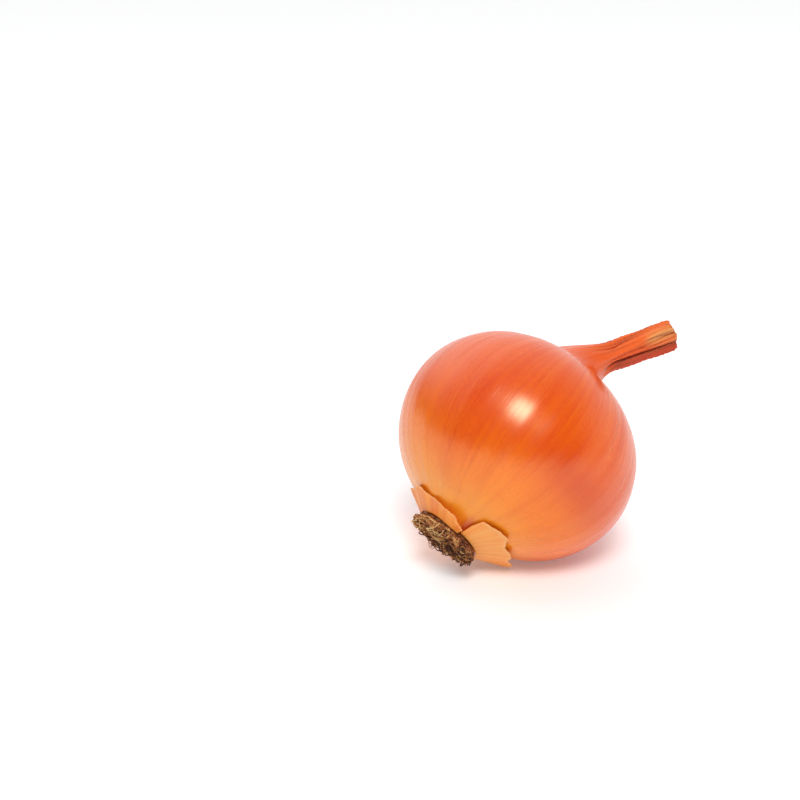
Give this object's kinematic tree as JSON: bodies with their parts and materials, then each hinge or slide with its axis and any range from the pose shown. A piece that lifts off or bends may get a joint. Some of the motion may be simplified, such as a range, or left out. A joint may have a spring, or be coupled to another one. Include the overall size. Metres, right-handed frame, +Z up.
{
  "type": "onion",
  "caption": "Dried brown onion lying on its side, with a withered bent neck, a tuft of dead roots and torn outer scale round the root end.",
  "frame": {"origin": "middle of the small flat spot on the belly that the onion rests on, at the level of the surface", "axes": "+Z up; +X along the ground from the root end towards the neck, under the onion's own axis, which rises 36.9 degrees above it"},
  "size_m": [0.0948, 0.0747, 0.0704],
  "materials": {
    "skin": "satin",
    "outer_scale": "matte",
    "dry_root": "matte"
  },
  "bodies": {
    "root": {"bulb": "skin", "root_tuft": "dry_root", "torn_scale_front": "outer_scale", "torn_scale_back": "outer_scale"}
  },
  "joints": []
}
